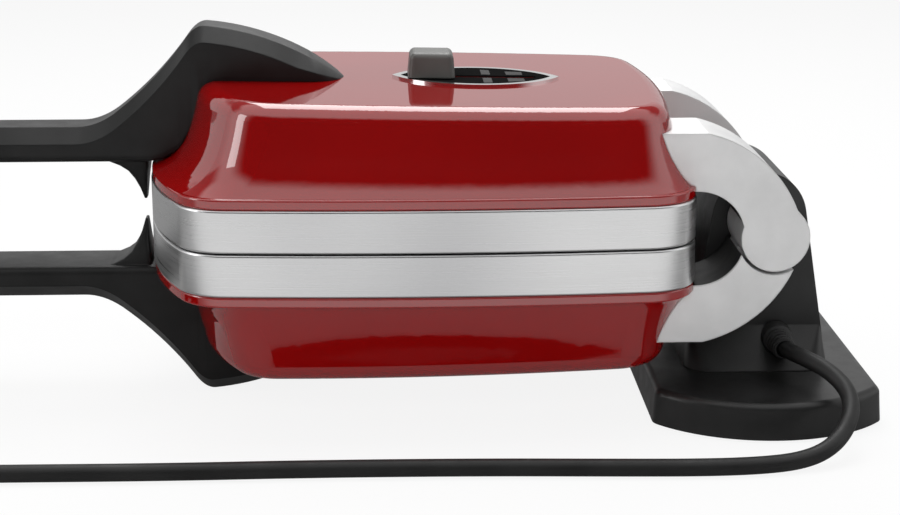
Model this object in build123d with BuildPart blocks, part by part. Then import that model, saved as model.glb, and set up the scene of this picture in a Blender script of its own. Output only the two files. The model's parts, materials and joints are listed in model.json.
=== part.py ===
from build123d import *
from math import asin, atan2, cos, hypot, pi, radians, sin, sqrt, tan
import os

# A countertop heart waffle iron: two enamelled shells with cast plates, joined by nested
# hinge arms to a black stand that the closed iron can be turned up on. Millimetres.
# +X is the width, -Y the handle side, +Y the hinge side, +Z up, the table is at z = 0.
# Outlines are drawn from the hinge axis and from the seam between the two halves.

os.makedirs("parts", exist_ok=True)

# Overall
overall_depth = 470.0
seam_height = 92.0
foot_depth = 110.0
hinge_y = overall_depth / 2 - foot_depth / 2
fit = 0.3
running = 0.05

# Plan outline of the iron
front_y = -296.0
rear_y = -32.5
side_x = 101.5
side_y = -151.5
front_corner_x = 97.0
front_corner_y = -269.5
rear_corner_x = 95.5
rear_corner_y = -40.5
plan_corner_r = 26.0
plan_middle_y = (front_y + rear_y) / 2

# Bands round the cooking plates
half_gap = 0.3
band_height = 20.0
band_wall = 2.5
band_edge_r = 1.1
band_top = half_gap + band_height

# Enamelled shells: rim, flared skirt, wall and crowned edge.
# Each skirt level is a height above the band, an inset and a set-back of the front.
rim_height = 5.0
rim_inset = 0.5
rim_edge_r = 1.0
rim_ledge = 2.0
skirt_levels = [(5.0, 2.2, 0.0), (10.5, 5.8, 6.0), (19.5, 9.3, 8.5), (31.0, 11.8, 9.8)]
wall_top_inset = 14.2
wall_top_rake = 10.8
wall_top_spare = 6.0
shell_wall = 2.0
crown_r = 9.0
top_front_height = 66.0
top_front_y = -266.5
top_fall = 3.7
top_fall_length = 210.0

# Cooking plates with heart cavities
plate_thickness = 12.0
cavity_depth = 8.0
cavity_taper = 12.0
lobe_r = 22.0
lobe_x = 20.5
lobe_y = 64.0
heart_edge_r = 3.0
heart_spacing_x = 90.0
heart_tip_gap = 16.0
lug_pitch = 15.0
lug_size = 8.0
lug_height = 5.4
lug_taper = 10.0
lug_margin = 4.0
plate_boss_x = 76.0
plate_boss_y = 84.0
plate_boss_r = 6.0

# Heating elements and the shields above them
element_r = 3.25
element_x = 60.0
element_y = 82.0
element_corner_r = 24.0
element_lead_x = 22.0
element_lead_y = 62.0
element_lead_rise = 15.0
element_lead_r = 7.0
shield_height = 1.7
shield_thickness = 1.2
screw_r = 2.0
screw_head_r = 4.0
screw_head = 2.6
screw_length = 9.0

# Hinge arms
arm_inner_x = 37.5
arm_middle_x = 57.15
arm_outer_x = 77.0
arm_height = 50.0
arm_flat_end_y = -33.0
arm_arc_mid = (-5.4, 35.3)
arm_root_y = -62.0
knuckle_r = 16.1
knuckle_angle = 52.0
knuckle_gap = 1.5
ring_y = -37.0
ring_r = 22.6
liner_wall = 2.0
liner_setback = 1.2
arm_bolt_r = 3.0
arm_bolt_head_r = 5.0
arm_bolt_head = 4.0
arm_bolt_height = 39.5
arm_bolt_spacing = 18.0
arm_bolt_wall_y = -47.5
arm_bolt_end_y = -30.0

# Axle and washers
axle_r = 5.0
axle_end_x = 70.5
washer_r = 11.0

# Stand
head_r = 23.0
head_half_width = 36.0
column_angle = 9.5
flare_half_width = 50.0
flare_top = 38.0
flare_corner_r = 14.0
foot_end_x = 101.5
foot_corner_x = 74.0
foot_corner_r = 9.0
foot_height = 18.0
foot_lift = 1.0
foot_wall = 3.0
foot_edge_r = 3.5
foot_taper = 4.0
base_plate_z = 3.0
base_plate_thickness = 2.0
pad_r = 9.0
pad_x = 66.0
pad_y = 36.0
base_screw_x = 84.0
base_screw_r = 1.8
base_screw_head_r = 3.4
base_screw_head = 1.6
base_boss_r = 4.5
pedestal_screw_x = 30.0
pedestal_screw_y = 22.0
pedestal_screw_length = 12.0

# Handles
bracket_half_width = 21.0
bracket_top = 92.0
bracket_corner_y = -273.0
bracket_crest_y = -262.0
crest_mid = (-230.0, 84.6)
bracket_tip = (-201.0, 64.6)
bracket_slope_y = -319.5
bracket_corner_r = 6.0
bracket_bend_r = 16.0
bracket_wide_y = -287.0
bracket_foot_y = -262.0
bracket_under = (-250.0, 48.0)
bevel_in = 5.0
bevel_across = 9.0
grip_top = 45.0
grip_bottom = 24.5
grip_half_width = 17.0
grip_end_y = foot_depth / 2 - overall_depth
grip_edge_r = 7.0
grip_end_r = 5.0
grip_blend = 14.0
guard_tip = (-300.5, 5.0)
guard_front_y = -312.0
guard_rear_y = -297.5
guard_half_width = 15.0
guard_blunt = 1.2
handle_screw_x = 10.0
handle_screw_height = 40.0
handle_screw_r = 2.5
handle_screw_head_r = 4.5
handle_screw_head = 3.0
handle_screw_seat_y = -274.5
handle_screw_length = 18.0

# Browning slider on the lid
scale_y = -136.5
scale_length = 82.0
scale_half_width = 27.0
scale_rim = 3.2
scale_rim_height = 1.1
inlay_height = 0.7
slot_width = 5.0
slot_length = 60.0
slot_y = -136.5
knob_rest_y = -158.5
knob_length = 23.0
knob_width = 24.0
knob_height = 12.0
knob_edge_r = 3.0
stem_width = 4.4
stem_length = 12.0
carrier_length = 26.0
carrier_width = 15.0
carrier_thickness = 2.0

# Thermostat and terminal blocks, on the shields
thermostat_width = 34.0
thermostat_length = 44.0
thermostat_height = 15.0
thermostat_y = -150.0
spindle_r = 4.0
spindle_height = 8.0
terminal_width = 62.0
terminal_depth = 16.0
terminal_height = 11.0

# Power cord, its coil and its plug
cord_r = 4.0
gland_x = 34.0
gland_boss_x = 45.0
gland_r = 7.4
sleeve_r = 6.2
sleeve_end_r = 4.8
sleeve_end_x = 60.0
cord_points = [
    (45.0, 190.0, 32.5),
    (60.0, 190.0, 32.5),
    (74.5, 196.5, 32.8),
    (87.5, 205.5, 30.5),
    (99.5, 212.0, 25.0),
    (111.5, 211.5, 18.5),
    (122.5, 205.5, 12.0),
    (131.5, 196.0, 7.0),
    (137.0, 183.0, 4.3),
    (141.3, 165.0, 4.0),
    (143.0, 139.0, 4.0),
    (141.6, 100.0, 4.0),
    (138.8, 40.0, 4.0),
    (138.0, -34.0, 4.0),
    (139.6, -104.0, 4.0),
    (138.6, -174.0, 4.0),
    (139.0, -238.5, 4.0),
]
run_share = 0.45
coil_r = 44.0
coil_center = (95.0, -238.5)
coil_turns = 2.25
tail_points = [
    (95.0, -282.5, 12.0),
    (78.0, -282.7, 13.5),
    (60.0, -285.0, 18.5),
    (44.0, -285.0, 18.5),
]
plug_face_r = 18.5
plug_face_length = 16.0
plug_neck_r = 9.0
plug_neck_x = 22.0
plug_length = 44.0
plug_edge_r = 2.0
pin_r = 2.4
pin_length = 19.0
pin_spacing = 19.0


def side_plane(x):
    """Plane across the width at x, with local x along +Y from the hinge axis and local y up."""
    return Plane(origin=(x, hinge_y, seam_height), x_dir=(0, 1, 0), z_dir=(1, 0, 0))


def level(height):
    """Level plane at a height above the seam, with its origin over the hinge axis."""
    return Plane.XY.offset(seam_height + height).move(Location((0, hinge_y, 0)))


def plate_level(height):
    """Level plane at a height above the seam, with its origin at the middle of the plates."""
    return Plane.XY.offset(seam_height + height).move(Location((0, hinge_y + plan_middle_y, 0)))


def upright_plane(y, height):
    """Plane facing the hinge, at y from the axis and a height above the seam; local x is -X."""
    return Plane(origin=(0, hinge_y + y, seam_height + height), x_dir=(-1, 0, 0), z_dir=(0, 1, 0))


def lid_plane(y, drop=0.0):
    """Plane of the lid's top face with its origin at y from the axis, lowered by drop."""
    tilt = atan2(top_fall, top_fall_length)
    height = top_front_height - (y - top_front_y) * top_fall / top_fall_length
    middle = (0, hinge_y + y, seam_height + height)
    return Plane(origin=middle, x_dir=(1, 0, 0), z_dir=(0, sin(tilt), cos(tilt))).offset(-drop)


def plan(height, inset, rake=0.0):
    """Plan outline of the iron at a height above the seam, drawn in and its front set back."""
    front = front_corner_y + inset + rake
    rear = rear_corner_y - inset
    corner_front = front_corner_x - inset
    corner_rear = rear_corner_x - inset
    with BuildSketch(level(height)) as outline:
        with BuildLine():
            ThreePointArc((-corner_front, front), (0, front_y + inset + rake), (corner_front, front))
            ThreePointArc((corner_front, front), (side_x - inset, side_y), (corner_rear, rear))
            ThreePointArc((corner_rear, rear), (0, rear_y - inset), (-corner_rear, rear))
            ThreePointArc((-corner_rear, rear), (inset - side_x, side_y), (-corner_front, front))
        make_face()
        fillet(outline.vertices(), plan_corner_r)
    return outline.sketch


def shell_form(inset, drop, edge_r):
    """Solid form of a shell above its rim, drawn in by inset and lowered by drop."""
    with BuildPart() as form:
        for height, level_inset, rake in skirt_levels:
            add(plan(band_top + height, level_inset + inset, rake))
        add(plan(top_front_height + wall_top_spare, wall_top_inset + inset, wall_top_rake))
        loft()
        split(bisect_by=lid_plane(top_front_y, drop), keep=Keep.BOTTOM)
        fillet(form.faces().sort_by(Axis.Z)[-1].edges(), edge_r)
    return form.part


def to_lower(part):
    """The same piece on the lower half: the halves mirror each other across the seam."""
    return mirror(part, about=Plane.XY.offset(seam_height))


def write(part, name):
    """Label a piece and write it to its own file."""
    part.label = name
    export_step(part, f"parts/{name}.step")


def write_pair(part, name):
    """Write a piece that both halves have, once as it is and once mirrored."""
    write(part, f"upper_{name}")
    write(to_lower(part), f"lower_{name}")


# Shell outer form and hollow
with BuildPart() as shell_body:
    add(plan(band_top, rim_inset))
    extrude(amount=rim_height)
    fillet(shell_body.edges().filter_by(Plane.XY), rim_edge_r)
    add(shell_form(0.0, 0.0, crown_r))

with BuildPart() as shell_hollow:
    add(plan(band_top, rim_inset + shell_wall))
    extrude(amount=rim_height - rim_ledge)
    add(plan(band_top, skirt_levels[0][1] + shell_wall))
    extrude(amount=rim_height)
    add(shell_form(shell_wall, shell_wall, crown_r - shell_wall))

# Screws and bolts that hold the handle bracket and the arms, put in from inside the shell
with BuildPart() as handle_screws:
    with BuildSketch(upright_plane(handle_screw_seat_y, handle_screw_height)):
        with GridLocations(2 * handle_screw_x, 0, 2, 1):
            Circle(handle_screw_head_r)
    extrude(amount=handle_screw_head)
    with BuildSketch(upright_plane(handle_screw_seat_y, handle_screw_height)):
        with GridLocations(2 * handle_screw_x, 0, 2, 1):
            Circle(handle_screw_r)
    extrude(amount=-handle_screw_length)

arm_center_x = (arm_inner_x + arm_outer_x) / 2
with BuildPart() as arm_bolts:
    with BuildSketch(upright_plane(arm_bolt_wall_y, arm_bolt_height)):
        with GridLocations(2 * arm_center_x, 0, 2, 1):
            with GridLocations(arm_bolt_spacing, 0, 2, 1):
                RegularPolygon(arm_bolt_head_r, 6)
    extrude(amount=-arm_bolt_head)
    with BuildSketch(upright_plane(arm_bolt_wall_y, arm_bolt_height)):
        with GridLocations(2 * arm_center_x, 0, 2, 1):
            with GridLocations(arm_bolt_spacing, 0, 2, 1):
                Circle(arm_bolt_r)
    extrude(amount=arm_bolt_end_y - arm_bolt_wall_y)

with BuildPart() as shell:
    add(shell_body.part)
    add(shell_hollow.part, mode=Mode.SUBTRACT)
    add(handle_screws.part, mode=Mode.SUBTRACT)
    add(arm_bolts.part, mode=Mode.SUBTRACT)

with BuildPart() as upper_shell:
    add(shell.part)
    with BuildSketch(lid_plane(slot_y)):
        SlotOverall(slot_length, slot_width, rotation=90)
    extrude(amount=-2 * shell_wall, mode=Mode.SUBTRACT)

write(upper_shell.part, "upper_shell")
write(to_lower(shell.part), "lower_shell")
write_pair(handle_screws.part, "handle_screws")
write_pair(arm_bolts.part, "arm_bolts")

# Stainless bands
with BuildPart() as band:
    add(plan(half_gap, 0.0))
    extrude(amount=band_height)
    fillet(band.edges().filter_by(Plane.XY), band_edge_r)
    add(plan(half_gap, band_wall))
    extrude(amount=band_height, mode=Mode.SUBTRACT)
write_pair(band.part, "band")

# Cooking plates
lobe_angle = atan2(lobe_y, lobe_x) - asin(lobe_r / hypot(lobe_x, lobe_y))
lobe_reach = sqrt(lobe_x**2 + lobe_y**2 - lobe_r**2)
heart_side = (lobe_reach * cos(lobe_angle), lobe_reach * sin(lobe_angle))
heart_lobe = (lobe_x + lobe_r * cos(radians(35)), lobe_y + lobe_r * sin(radians(35)))
heart_notch = (0, lobe_y + sqrt(lobe_r**2 - lobe_x**2))


def heart(edge_r):
    """A heart with its tip at the origin and its lobes along +Y."""
    with BuildSketch() as outline:
        with BuildLine():
            Line((0, 0), heart_side)
            ThreePointArc(heart_side, heart_lobe, heart_notch)
            ThreePointArc(heart_notch, (-heart_lobe[0], heart_lobe[1]), (-heart_side[0], heart_side[1]))
            Line((-heart_side[0], heart_side[1]), (0, 0))
        make_face()
        fillet(outline.vertices().group_by(Axis.X)[len(outline.vertices().group_by(Axis.X)) // 2], edge_r)
    return outline.sketch


def in_heart(x, y):
    """Whether a point is inside the heart, clear of its edge by the lug margin."""
    x = abs(x)
    in_lobe = hypot(x - lobe_x, y - lobe_y) < lobe_r - lug_margin
    below = x * sin(lobe_angle) - y * cos(lobe_angle) < -lug_margin
    return in_lobe or (below and y < lobe_y and x < heart_side[0] - lug_margin)


def lug_places():
    """Centres of the lugs whose four corners lie inside the heart."""
    half = lug_size / 2
    places = []
    for column in range(-3, 4):
        for row in range(7):
            x = column * lug_pitch
            y = lug_pitch * (row + 0.9)
            corners = [(x + i * half, y + j * half) for i in (-1, 1) for j in (-1, 1)]
            if all(in_heart(*corner) for corner in corners):
                places.append((x, y))
    return places


heart_places = [
    Location((side * heart_spacing_x / 2, end * heart_tip_gap / 2, 0), (0, 0, 0 if end > 0 else 180))
    for side in (-1, 1)
    for end in (-1, 1)
]
plate_inset = band_wall
cavity_floor = half_gap + cavity_depth
plate_back = half_gap + plate_thickness
shield_base = band_top + shield_height
with BuildPart() as waffle_plate:
    add(plan(half_gap, plate_inset))
    extrude(amount=plate_thickness)
    with BuildSketch(plate_level(half_gap)):
        with Locations(heart_places):
            add(heart(heart_edge_r))
    extrude(amount=cavity_depth, taper=cavity_taper, mode=Mode.SUBTRACT)
    with BuildSketch(plate_level(cavity_floor)):
        with Locations(heart_places):
            with Locations(lug_places()):
                Rectangle(lug_size, lug_size)
    extrude(amount=-lug_height, taper=lug_taper)
    with BuildSketch(plate_level(plate_back)):
        with GridLocations(2 * plate_boss_x, 2 * plate_boss_y, 2, 2):
            Circle(plate_boss_r)
    extrude(amount=shield_base - plate_back)
    with BuildSketch(plate_level(shield_base)):
        with GridLocations(2 * plate_boss_x, 2 * plate_boss_y, 2, 2):
            Circle(screw_r)
    extrude(amount=shield_thickness - screw_length, mode=Mode.SUBTRACT)
write_pair(waffle_plate.part, "waffle_plate")

# Tubular heating elements
element_height = plate_back + element_r
element_path = [
    (element_lead_x, element_lead_y, element_lead_rise),
    (element_lead_x, element_lead_y, 0),
    (element_lead_x, element_y, 0),
    (element_x, element_y, 0),
    (element_x, -element_y, 0),
    (-element_x, -element_y, 0),
    (-element_x, element_y, 0),
    (-element_lead_x, element_y, 0),
    (-element_lead_x, element_lead_y, 0),
    (-element_lead_x, element_lead_y, element_lead_rise),
]
lead_bends = [element_lead_r, element_lead_r]
element_bends = lead_bends + [element_corner_r] * 4 + lead_bends
with BuildPart() as heating_element:
    with BuildLine(plate_level(element_height)) as element_line:
        FilletPolyline(*element_path, radius=element_bends)
    with BuildSketch(Plane(origin=element_line.line @ 0, z_dir=element_line.line % 0)):
        Circle(element_r)
    sweep(path=element_line.line)
write_pair(heating_element.part, "heating_element")

# Heat shields, their screws, and the terminal blocks and thermostat on them
shield_top = shield_base + shield_thickness
with BuildPart() as shield_screws:
    with BuildSketch(plate_level(shield_top)):
        with GridLocations(2 * plate_boss_x, 2 * plate_boss_y, 2, 2):
            Circle(screw_head_r)
    extrude(amount=screw_head)
    with BuildSketch(plate_level(shield_top)):
        with GridLocations(2 * plate_boss_x, 2 * plate_boss_y, 2, 2):
            Circle(screw_r)
    extrude(amount=-screw_length)
write_pair(shield_screws.part, "shield_screws")

with BuildPart() as heat_shield:
    add(plan(shield_base, rim_inset + shell_wall))
    extrude(amount=shield_thickness)
    with BuildSketch(plate_level(shield_base)):
        with GridLocations(2 * plate_boss_x, 2 * plate_boss_y, 2, 2):
            Circle(screw_r)
        with Locations((0, element_lead_y)):
            with GridLocations(2 * element_lead_x, 0, 2, 1):
                Circle(element_r + fit)
    extrude(amount=shield_thickness, mode=Mode.SUBTRACT)
write_pair(heat_shield.part, "heat_shield")

with BuildPart() as terminal_block:
    with BuildSketch(plate_level(shield_top)):
        with Locations((0, element_lead_y)):
            RectangleRounded(terminal_width, terminal_depth, 2)
            with GridLocations(2 * element_lead_x, 0, 2, 1):
                Circle(element_r + fit, mode=Mode.SUBTRACT)
    extrude(amount=terminal_height)
write_pair(terminal_block.part, "terminal_block")

with BuildPart() as thermostat:
    with BuildSketch(level(shield_top)):
        with Locations((0, thermostat_y)):
            RectangleRounded(thermostat_width, thermostat_length, 3)
    extrude(amount=thermostat_height)
    with BuildSketch(level(shield_top + thermostat_height)):
        with Locations((0, thermostat_y)):
            Circle(spindle_r)
    extrude(amount=spindle_height)
write(thermostat.part, "thermostat")

# Hinge arms: the upper half carries the outer knuckles, the lower half the inner ones
knuckle_end = (knuckle_r * cos(radians(knuckle_angle)), knuckle_r * sin(radians(knuckle_angle)))
ring_mid = (ring_y + ring_r * cos(radians(45)), ring_r * sin(radians(45)))
with BuildSketch() as arm_profile:
    with BuildLine():
        Line((arm_root_y, arm_height), (arm_flat_end_y, arm_height))
        ThreePointArc((arm_flat_end_y, arm_height), arm_arc_mid, knuckle_end)
        Line(knuckle_end, (0, 0))
        Line((0, 0), (ring_y + ring_r, 0))
        ThreePointArc((ring_y + ring_r, 0), ring_mid, (ring_y, ring_r))
        Line((ring_y, ring_r), (arm_root_y, ring_r))
        Line((arm_root_y, ring_r), (arm_root_y, arm_height))
    make_face()

liner_outer_x = arm_outer_x - liner_setback


def hinge_arms(knuckle_start, knuckle_stop, notch_start, notch_stop):
    """Both arms of a half, with knuckles over one stretch of the axle and notches over the other."""
    with BuildPart() as arms:
        with BuildSketch(side_plane(arm_inner_x)):
            add(arm_profile.sketch)
        extrude(amount=arm_outer_x - arm_inner_x)
        with BuildSketch(side_plane(arm_inner_x)):
            with Locations((ring_y, 0)):
                Circle(ring_r + liner_wall)
        extrude(amount=liner_outer_x - arm_inner_x, mode=Mode.SUBTRACT)
        with BuildSketch(side_plane(notch_start)):
            Circle(knuckle_r + knuckle_gap)
        extrude(amount=notch_stop - notch_start, mode=Mode.SUBTRACT)
        with BuildSketch(side_plane(knuckle_start)):
            Circle(knuckle_r)
        extrude(amount=knuckle_stop - knuckle_start)
        with BuildSketch(side_plane(knuckle_start)):
            Circle(axle_r + running)
        extrude(amount=min(knuckle_stop, axle_end_x + fit) - knuckle_start, mode=Mode.SUBTRACT)
        add(shell_body.part, mode=Mode.SUBTRACT)
        add(arm_bolts.part, mode=Mode.SUBTRACT)
        mirror(about=Plane.YZ)
    return arms.part


upper_arms = hinge_arms(arm_middle_x + fit / 2, arm_outer_x, arm_inner_x, arm_middle_x + fit / 2)
lower_arms = hinge_arms(arm_inner_x, arm_middle_x - fit / 2, arm_middle_x - fit / 2, arm_outer_x)
write(upper_arms, "upper_hinge_arms")
write(to_lower(lower_arms), "lower_hinge_arms")

with BuildPart() as arm_liners:
    with BuildSketch(side_plane(arm_inner_x)):
        with Locations((ring_y, 0)):
            Circle(ring_r + liner_wall)
            Circle(ring_r, mode=Mode.SUBTRACT)
        with Locations((ring_y + arm_height / 2, arm_height / 2)):
            Rectangle(arm_height, arm_height, mode=Mode.INTERSECT)
        Circle(knuckle_r + knuckle_gap, mode=Mode.SUBTRACT)
    extrude(amount=liner_outer_x - arm_inner_x)
    add(shell_body.part, mode=Mode.SUBTRACT)
    mirror(about=Plane.YZ)
write_pair(arm_liners.part, "arm_liners")

# Handles: a fin-shaped bracket that hugs the shell, a finger guard and a grip
slope_foot = (bracket_slope_y, grip_top)
corner = (bracket_corner_y, bracket_top)
crest = (bracket_crest_y, bracket_top)
with BuildPart() as handle:
    with BuildSketch(side_plane(-bracket_half_width)) as bracket_profile:
        with BuildLine():
            Line((bracket_slope_y - grip_blend, grip_top), slope_foot)
            Line(slope_foot, corner)
            Line(corner, crest)
            ThreePointArc(crest, crest_mid, bracket_tip)
            Line(bracket_tip, bracket_under)
            Line(bracket_under, (bracket_foot_y, grip_bottom))
            Line((bracket_foot_y, grip_bottom), (bracket_slope_y - grip_blend, grip_bottom))
            Line((bracket_slope_y - grip_blend, grip_bottom), (bracket_slope_y - grip_blend, grip_top))
        make_face()
        fillet(bracket_profile.vertices().sort_by_distance(corner)[0], bracket_corner_r)
        fillet(bracket_profile.vertices().sort_by_distance(slope_foot)[0], bracket_bend_r)
    extrude(amount=2 * bracket_half_width)
    for side in (-1, 1):
        face = handle.faces().sort_by(Axis.X)[-1 if side > 0 else 0]
        ridge = face.edges().filter_by(lambda edge: edge.center().Z > seam_height + grip_top + 5)
        ridge = ridge.filter_by(lambda edge: (edge @ 0.5).Y > hinge_y + bracket_slope_y)
        ridge = ridge.filter_by(lambda edge: (edge @ 0.5).Z > seam_height + grip_top + 14)
        chamfer(ridge, length=bevel_in, length2=bevel_across, reference=face)
    with BuildSketch(level(0)):
        with BuildLine():
            narrow_y = bracket_slope_y - grip_blend
            round_y = bracket_tip[0] - bracket_half_width
            Polyline(
                (-bracket_half_width, round_y),
                (-bracket_half_width, bracket_wide_y),
                (-grip_half_width, narrow_y),
                (grip_half_width, narrow_y),
                (bracket_half_width, bracket_wide_y),
                (bracket_half_width, round_y),
            )
            ThreePointArc((bracket_half_width, round_y), (0, bracket_tip[0]), (-bracket_half_width, round_y))
        make_face()
    extrude(amount=2 * bracket_top, mode=Mode.INTERSECT)
    with BuildSketch(upright_plane(grip_end_y, (grip_top + grip_bottom) / 2)):
        RectangleRounded(2 * grip_half_width, grip_top - grip_bottom, grip_edge_r)
    extrude(amount=narrow_y + grip_blend - grip_end_y)
    end_face = handle.faces().sort_by(Axis.Y)[0]
    fillet(end_face.edges(), grip_end_r)
    with BuildSketch(side_plane(-guard_half_width)):
        with BuildLine():
            guard_lip = (guard_tip[0] - guard_blunt, guard_tip[1])
            guard_heel = (guard_tip[0] + guard_blunt, guard_tip[1])
            root_height = grip_bottom + 1
            ThreePointArc((guard_front_y, root_height), (guard_front_y + 6.5, grip_bottom - 7), guard_lip)
            Line(guard_lip, guard_heel)
            Line(guard_heel, (guard_rear_y, root_height))
            Line((guard_rear_y, root_height), (guard_front_y, root_height))
        make_face()
    extrude(amount=2 * guard_half_width)
    add(shell_body.part, mode=Mode.SUBTRACT)
    add(handle_screws.part, mode=Mode.SUBTRACT)
write_pair(handle.part, "handle")

# Browning slider: bright rim, black inlay, knob with its stem, and the carrier under the lid


def lens(length, half_width):
    """A pointed oval of a length along Y and a half width along X."""
    with BuildSketch() as outline:
        with BuildLine():
            ThreePointArc((0, -length / 2), (half_width, 0), (0, length / 2))
            ThreePointArc((0, length / 2), (-half_width, 0), (0, -length / 2))
        make_face()
    return outline.sketch


inlay_length = scale_length - 2.6 * scale_rim
inlay_half_width = scale_half_width - scale_rim
with BuildPart() as slider_bezel:
    with BuildSketch(lid_plane(scale_y)):
        add(lens(scale_length, scale_half_width))
        add(lens(inlay_length, inlay_half_width), mode=Mode.SUBTRACT)
    extrude(amount=scale_rim_height)
write(slider_bezel.part, "slider_bezel")

with BuildPart() as slider_inlay:
    with BuildSketch(lid_plane(scale_y)):
        add(lens(inlay_length, inlay_half_width))
        with Locations((0, slot_y - scale_y)):
            SlotOverall(slot_length, slot_width, rotation=90, mode=Mode.SUBTRACT)
    extrude(amount=inlay_height)
write(slider_inlay.part, "slider_inlay")

knob_base = scale_rim_height + fit
with BuildPart() as slider_knob:
    with BuildSketch(lid_plane(knob_rest_y, -knob_base)):
        Rectangle(knob_width, knob_length)
    extrude(amount=knob_height, taper=5)
    fillet(slider_knob.edges().filter_by(Axis.Z, tolerance=12), knob_edge_r)
    fillet(slider_knob.faces().sort_by(Axis.Z)[-1].edges(), knob_edge_r)
    with BuildSketch(lid_plane(knob_rest_y, -knob_base)):
        Rectangle(stem_width, stem_length)
    extrude(amount=-knob_base - shell_wall - fit)
write(slider_knob.part, "slider_knob")

with BuildPart() as slider_carrier:
    with BuildSketch(lid_plane(knob_rest_y, shell_wall + fit)):
        Rectangle(carrier_width, carrier_length)
    extrude(amount=-carrier_thickness)
write(slider_carrier.part, "slider_carrier")

# Axle and washers
with BuildPart() as hinge_axle:
    with BuildSketch(side_plane(-axle_end_x)):
        Circle(axle_r)
    extrude(amount=2 * axle_end_x)
    chamfer(hinge_axle.edges(), 0.8)
write(hinge_axle.part, "hinge_axle")

with BuildPart() as hinge_washers:
    with BuildSketch(side_plane(head_half_width)):
        Circle(washer_r)
        Circle(axle_r + running, mode=Mode.SUBTRACT)
    extrude(amount=arm_inner_x - head_half_width - fit)
    mirror(about=Plane.YZ)
write(hinge_washers.part, "hinge_washers")

# Cable gland with its tapered sleeve
gland_y = cord_points[0][1]
gland_z = cord_points[0][2]
gland_mouth = Plane(origin=(gland_x, gland_y, gland_z), x_dir=(0, 1, 0), z_dir=(1, 0, 0))
with BuildPart() as cable_gland:
    with BuildSketch(gland_mouth):
        Circle(gland_r)
    extrude(amount=gland_boss_x - gland_x)
    fillet(cable_gland.faces().sort_by(Axis.X)[-1].edges(), 1.6)
    with BuildSketch(gland_mouth.offset(gland_boss_x - gland_x)):
        Circle(sleeve_r)
    with BuildSketch(gland_mouth.offset(sleeve_end_x - gland_x)):
        Circle(sleeve_end_r)
    loft()
    with BuildSketch(gland_mouth.offset(gland_boss_x - gland_x)):
        Circle(cord_r)
    extrude(amount=sleeve_end_x - gland_boss_x, mode=Mode.SUBTRACT)
write(cable_gland.part, "cable_gland")

# Stand pedestal: a round head on a flared column
foot_drop = seam_height - foot_height


def column_half_depth(drop):
    """Half depth of the column at a distance below the axle."""
    lean = radians(column_angle)
    return head_r * cos(lean) + (head_r * sin(lean) + drop) * tan(lean)


tangent_point = (head_r * cos(radians(column_angle)), head_r * sin(radians(column_angle)))
with BuildPart() as pedestal:
    with BuildSketch(side_plane(-head_half_width)):
        Circle(head_r)
        with BuildLine():
            Polyline(
                tangent_point,
                (column_half_depth(foot_drop), -foot_drop),
                (-column_half_depth(foot_drop), -foot_drop),
                (-tangent_point[0], tangent_point[1]),
                close=True,
            )
        make_face()
    extrude(amount=2 * head_half_width)
    with BuildSketch(level(foot_height - seam_height)):
        RectangleRounded(2 * flare_half_width, 2 * column_half_depth(foot_drop), flare_corner_r)
    with BuildSketch(level(flare_top - seam_height)):
        RectangleRounded(2 * head_half_width, 2 * column_half_depth(seam_height - flare_top), 1.0)
    loft()
    with BuildSketch(side_plane(-head_half_width)):
        Circle(axle_r)
    extrude(amount=2 * head_half_width, mode=Mode.SUBTRACT)
    with BuildSketch(gland_mouth):
        Circle(gland_r)
    extrude(amount=gland_boss_x - gland_x, mode=Mode.SUBTRACT)
    with BuildSketch(level(foot_height - seam_height)):
        with GridLocations(2 * pedestal_screw_x, 2 * pedestal_screw_y, 2, 2):
            Circle(screw_r)
    extrude(amount=pedestal_screw_length, mode=Mode.SUBTRACT)
write(pedestal.part, "pedestal")

# Foot: a low hollow moulding with rounded ends, closed by a plate with rubber pads


def foot_outline(height, inset):
    """Outline of the foot at a height above the table, drawn in by inset."""
    half_depth = foot_depth / 2 - inset
    corner_x = foot_corner_x - inset
    end_x = foot_end_x - inset
    with BuildSketch(level(height - seam_height)) as outline:
        with BuildLine():
            Line((-corner_x, -half_depth), (corner_x, -half_depth))
            ThreePointArc((corner_x, -half_depth), (end_x, 0), (corner_x, half_depth))
            Line((corner_x, half_depth), (-corner_x, half_depth))
            ThreePointArc((-corner_x, half_depth), (-end_x, 0), (-corner_x, -half_depth))
        make_face()
        fillet(outline.vertices(), foot_corner_r)
    return outline.sketch


roof_height = foot_height - foot_wall
plate_top = base_plate_z + base_plate_thickness
base_grid = [(-base_screw_x, 0), (base_screw_x, 0), (0, foot_depth / 2 - 12), (0, 12 - foot_depth / 2)]
with BuildPart() as foot:
    add(foot_outline(foot_lift, 0.0))
    extrude(amount=foot_height - foot_lift, taper=foot_taper)
    fillet(foot.faces().sort_by(Axis.Z)[-1].edges(), foot_edge_r)
    add(foot_outline(foot_lift, foot_wall))
    extrude(amount=roof_height - foot_lift, mode=Mode.SUBTRACT)
    with BuildSketch(level(plate_top - seam_height)):
        with Locations(base_grid):
            Circle(base_boss_r)
    extrude(amount=roof_height - plate_top)
    with BuildSketch(level(plate_top - seam_height)):
        with Locations(base_grid):
            Circle(base_screw_r)
    extrude(amount=roof_height - plate_top - 1, mode=Mode.SUBTRACT)
    with BuildSketch(level(roof_height - seam_height)):
        with GridLocations(2 * pedestal_screw_x, 2 * pedestal_screw_y, 2, 2):
            Circle(screw_r)
    extrude(amount=foot_wall, mode=Mode.SUBTRACT)
write(foot.part, "stand_foot")

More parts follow.
